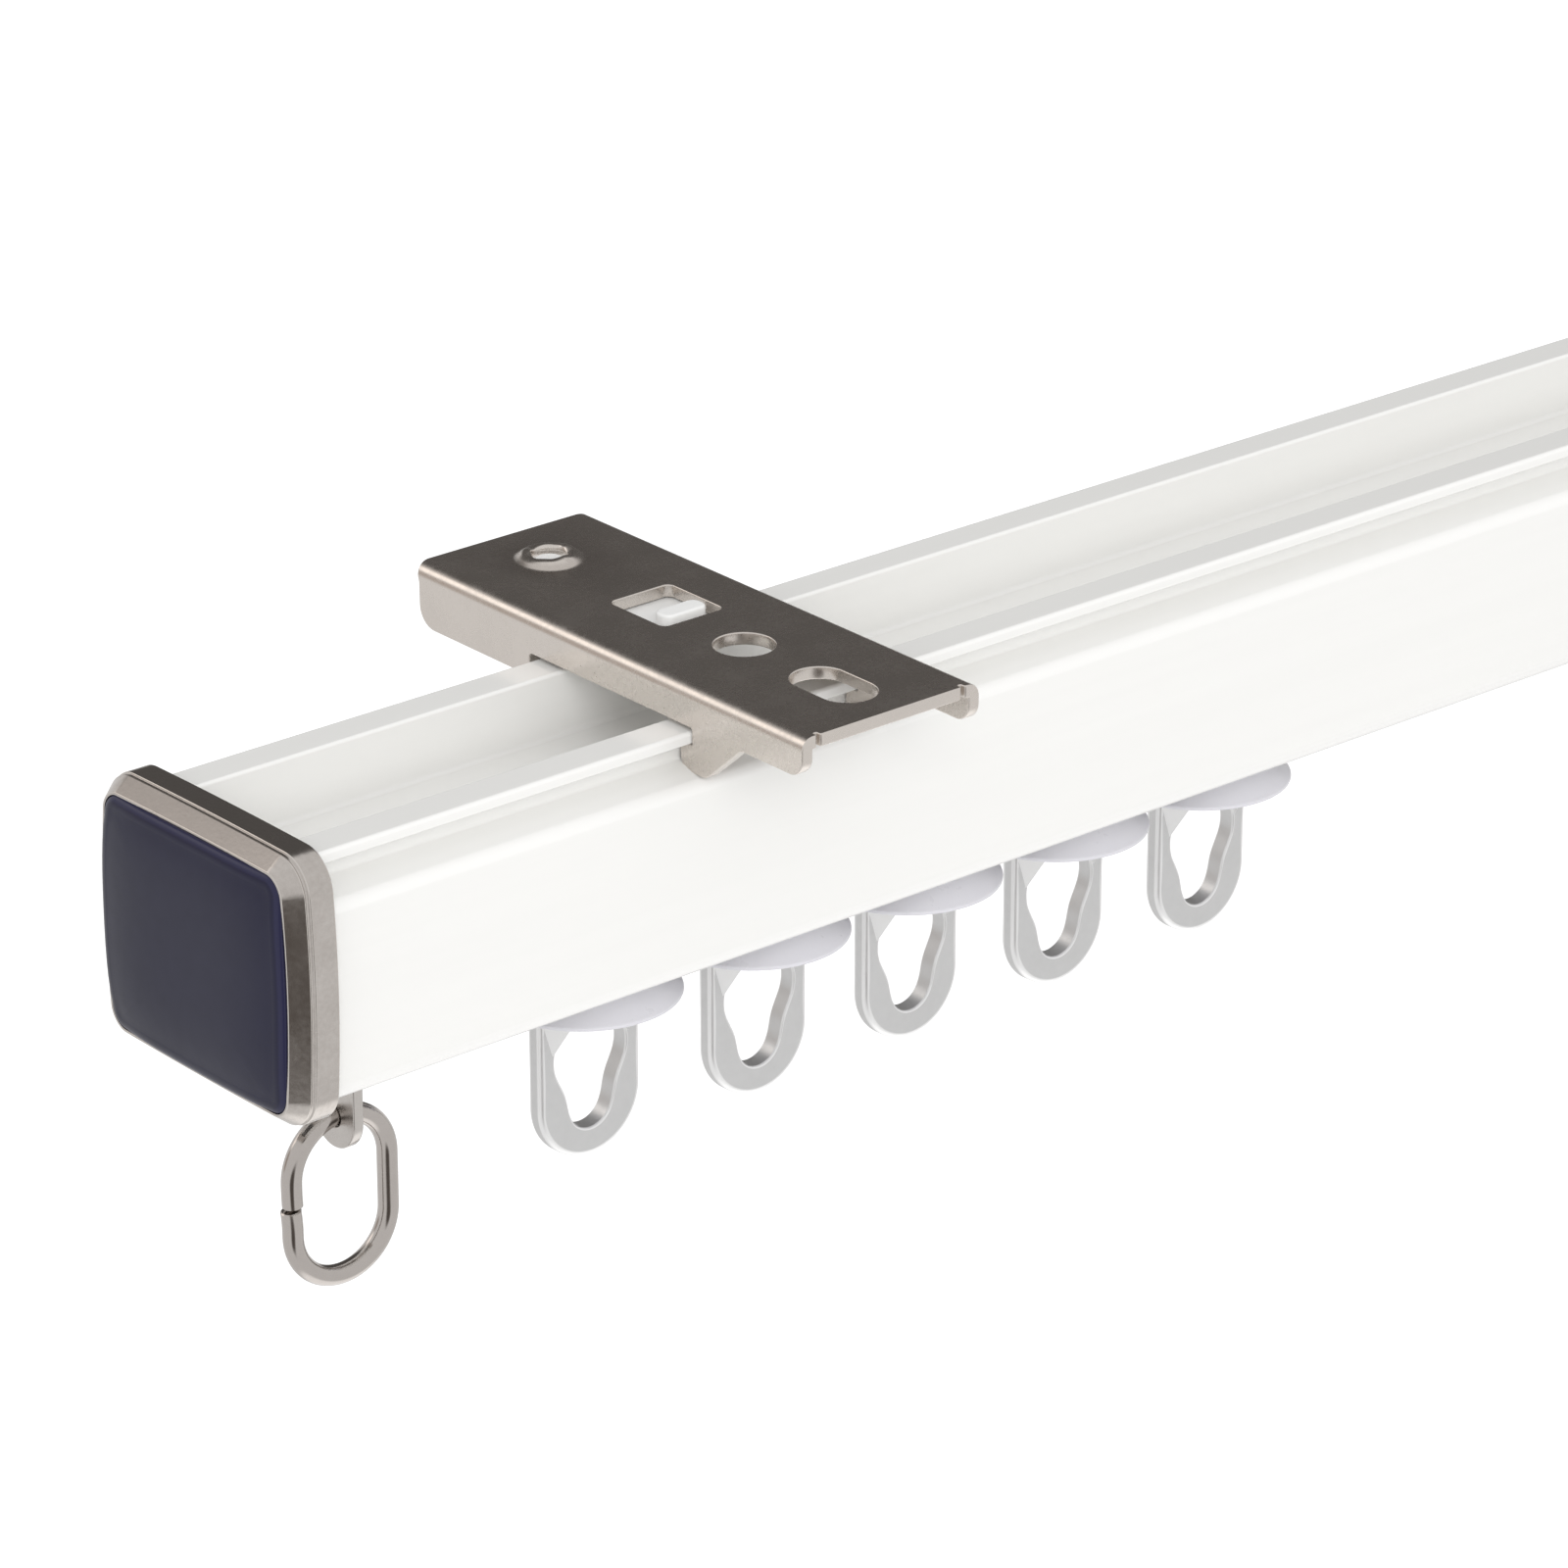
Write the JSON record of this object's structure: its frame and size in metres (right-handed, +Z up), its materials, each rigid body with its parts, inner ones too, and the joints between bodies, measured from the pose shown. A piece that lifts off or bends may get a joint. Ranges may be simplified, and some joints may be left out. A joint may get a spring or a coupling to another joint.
{
  "type": "ceiling curtain rail",
  "caption": "Ceiling curtain rail: wheeled runners with swivelling rings in a slotted track, end stops with link rings, end caps and sprung clip-on ceiling brackets.",
  "frame": {"origin": "in the ceiling plane, midway between the round screw holes of the two brackets", "axes": "+X along the rail, towards the end away from the bunched runners; +Y towards the wall; +Z up into the ceiling. The room side is -Y"},
  "size_m": [0.609, 0.0445, 0.0431],
  "materials": {
    "rail_white": "glossy white coating on an aluminium extrusion",
    "cap_nickel": "satin nickel plating",
    "cap_navy": "glossy navy",
    "cap_base": "moulded, light grey",
    "stop_steel": "bright zinc plating",
    "set_screw": "dark steel",
    "link_nickel": "polished nickel wire",
    "bracket_steel": "plated sheet steel with a satin, speckled face",
    "lock_white": "white acetal",
    "runner_white": "white acetal",
    "axle_steel": "bright steel wire",
    "ring_grey": "satin light grey moulding"
  },
  "bodies": {
    "rail_body": {"rail": "rail_white", "left_cap_frame": "cap_nickel", "left_cap_face": "cap_navy", "left_cap_plug": "cap_base", "left_stop_body": "stop_steel", "left_stop_screw": "set_screw", "right_cap_frame": "cap_nickel", "right_cap_face": "cap_navy", "right_cap_plug": "cap_base", "right_stop_body": "stop_steel", "right_stop_screw": "set_screw", "bracket_1_plate": "bracket_steel", "bracket_1_spring": "lock_white", "bracket_2_plate": "bracket_steel", "bracket_2_spring": "lock_white"},
    "left_link": {"left_stop_ring": "link_nickel"},
    "right_link": {"right_stop_ring": "link_nickel"},
    "lock_1": {"bracket_1_lock": "lock_white"},
    "lock_2": {"bracket_2_lock": "lock_white"},
    "runner_1": {"runner_1_body": "runner_white", "runner_1_axle": "axle_steel"},
    "front_wheel_1": {"runner_1_front_wheel": "runner_white"},
    "back_wheel_1": {"runner_1_back_wheel": "runner_white"},
    "curtain_ring_1": {"runner_1_ring": "ring_grey"},
    "runner_2": {"runner_2_body": "runner_white", "runner_2_axle": "axle_steel"},
    "front_wheel_2": {"runner_2_front_wheel": "runner_white"},
    "back_wheel_2": {"runner_2_back_wheel": "runner_white"},
    "curtain_ring_2": {"runner_2_ring": "ring_grey"},
    "runner_3": {"runner_3_body": "runner_white", "runner_3_axle": "axle_steel"},
    "front_wheel_3": {"runner_3_front_wheel": "runner_white"},
    "back_wheel_3": {"runner_3_back_wheel": "runner_white"},
    "curtain_ring_3": {"runner_3_ring": "ring_grey"},
    "runner_4": {"runner_4_body": "runner_white", "runner_4_axle": "axle_steel"},
    "front_wheel_4": {"runner_4_front_wheel": "runner_white"},
    "back_wheel_4": {"runner_4_back_wheel": "runner_white"},
    "curtain_ring_4": {"runner_4_ring": "ring_grey"},
    "runner_5": {"runner_5_body": "runner_white", "runner_5_axle": "axle_steel"},
    "front_wheel_5": {"runner_5_front_wheel": "runner_white"},
    "back_wheel_5": {"runner_5_back_wheel": "runner_white"},
    "curtain_ring_5": {"runner_5_ring": "ring_grey"}
  },
  "joints": [
    {"name": "runner_1_slide", "type": "slide", "parent": "rail_body", "child": "runner_1", "axis": [1, 0, 0], "range_m": [-0.0115, 0.097]},
    {"name": "runner_1_front_wheel_spin", "type": "hinge", "parent": "runner_1", "child": "front_wheel_1", "pos_m": [-0.2692, -0.0005, -0.017], "axis": [0, 1, 0], "continuous": true},
    {"name": "runner_1_back_wheel_spin", "type": "hinge", "parent": "runner_1", "child": "back_wheel_1", "pos_m": [-0.2692, 0.0107, -0.017], "axis": [0, 1, 0], "continuous": true},
    {"name": "runner_1_ring_swivel", "type": "hinge", "parent": "runner_1", "child": "curtain_ring_1", "pos_m": [-0.2692, 0.0051, -0.026], "axis": [0, 0, 1], "continuous": true},
    {"name": "runner_2_slide", "type": "slide", "parent": "runner_1", "child": "runner_2", "axis": [1, 0, 0], "range_m": [-0.0013, 0.097]},
    {"name": "runner_2_front_wheel_spin", "type": "hinge", "parent": "runner_2", "child": "front_wheel_2", "pos_m": [-0.253, -0.0005, -0.017], "axis": [0, 1, 0], "continuous": true},
    {"name": "runner_2_back_wheel_spin", "type": "hinge", "parent": "runner_2", "child": "back_wheel_2", "pos_m": [-0.253, 0.0107, -0.017], "axis": [0, 1, 0], "continuous": true},
    {"name": "runner_2_ring_swivel", "type": "hinge", "parent": "runner_2", "child": "curtain_ring_2", "pos_m": [-0.253, 0.0051, -0.026], "axis": [0, 0, 1], "continuous": true},
    {"name": "runner_3_slide", "type": "slide", "parent": "runner_2", "child": "runner_3", "axis": [1, 0, 0], "range_m": [-0.0003, 0.097]},
    {"name": "runner_3_front_wheel_spin", "type": "hinge", "parent": "runner_3", "child": "front_wheel_3", "pos_m": [-0.2378, -0.0005, -0.017], "axis": [0, 1, 0], "continuous": true},
    {"name": "runner_3_back_wheel_spin", "type": "hinge", "parent": "runner_3", "child": "back_wheel_3", "pos_m": [-0.2378, 0.0107, -0.017], "axis": [0, 1, 0], "continuous": true},
    {"name": "runner_3_ring_swivel", "type": "hinge", "parent": "runner_3", "child": "curtain_ring_3", "pos_m": [-0.2378, 0.0051, -0.026], "axis": [0, 0, 1], "continuous": true},
    {"name": "runner_4_slide", "type": "slide", "parent": "runner_3", "child": "runner_4", "axis": [1, 0, 0], "range_m": [-0.0003, 0.097]},
    {"name": "runner_4_front_wheel_spin", "type": "hinge", "parent": "runner_4", "child": "front_wheel_4", "pos_m": [-0.2226, -0.0005, -0.017], "axis": [0, 1, 0], "continuous": true},
    {"name": "runner_4_back_wheel_spin", "type": "hinge", "parent": "runner_4", "child": "back_wheel_4", "pos_m": [-0.2226, 0.0107, -0.017], "axis": [0, 1, 0], "continuous": true},
    {"name": "runner_4_ring_swivel", "type": "hinge", "parent": "runner_4", "child": "curtain_ring_4", "pos_m": [-0.2226, 0.0051, -0.026], "axis": [0, 0, 1], "continuous": true},
    {"name": "runner_5_slide", "type": "slide", "parent": "runner_4", "child": "runner_5", "axis": [1, 0, 0], "range_m": [-0.0003, 0.097]},
    {"name": "runner_5_front_wheel_spin", "type": "hinge", "parent": "runner_5", "child": "front_wheel_5", "pos_m": [-0.2074, -0.0005, -0.017], "axis": [0, 1, 0], "continuous": true},
    {"name": "runner_5_back_wheel_spin", "type": "hinge", "parent": "runner_5", "child": "back_wheel_5", "pos_m": [-0.2074, 0.0107, -0.017], "axis": [0, 1, 0], "continuous": true},
    {"name": "runner_5_ring_swivel", "type": "hinge", "parent": "runner_5", "child": "curtain_ring_5", "pos_m": [-0.2074, 0.0051, -0.026], "axis": [0, 0, 1], "continuous": true},
    {"name": "left_link_swing", "type": "hinge", "parent": "rail_body", "child": "left_link", "pos_m": [-0.2917, 0.0051, -0.02892], "axis": [1, 0, 0], "range_deg": [-80, 80]},
    {"name": "right_link_swing", "type": "hinge", "parent": "rail_body", "child": "right_link", "pos_m": [0.2917, 0.0051, -0.02892], "axis": [1, 0, 0], "range_deg": [-80, 80]},
    {"name": "bracket_1_lock_slide", "type": "slide", "parent": "rail_body", "child": "lock_1", "axis": [0, 1, 0], "range_m": [0, 0.0028], "stiffness_N_per_m": 600, "springref_m": -0.003, "deforming": ["bracket_1_spring"]},
    {"name": "bracket_2_lock_slide", "type": "slide", "parent": "rail_body", "child": "lock_2", "axis": [0, 1, 0], "range_m": [0, 0.0028], "stiffness_N_per_m": 600, "springref_m": -0.003, "deforming": ["bracket_2_spring"]}
  ]
}
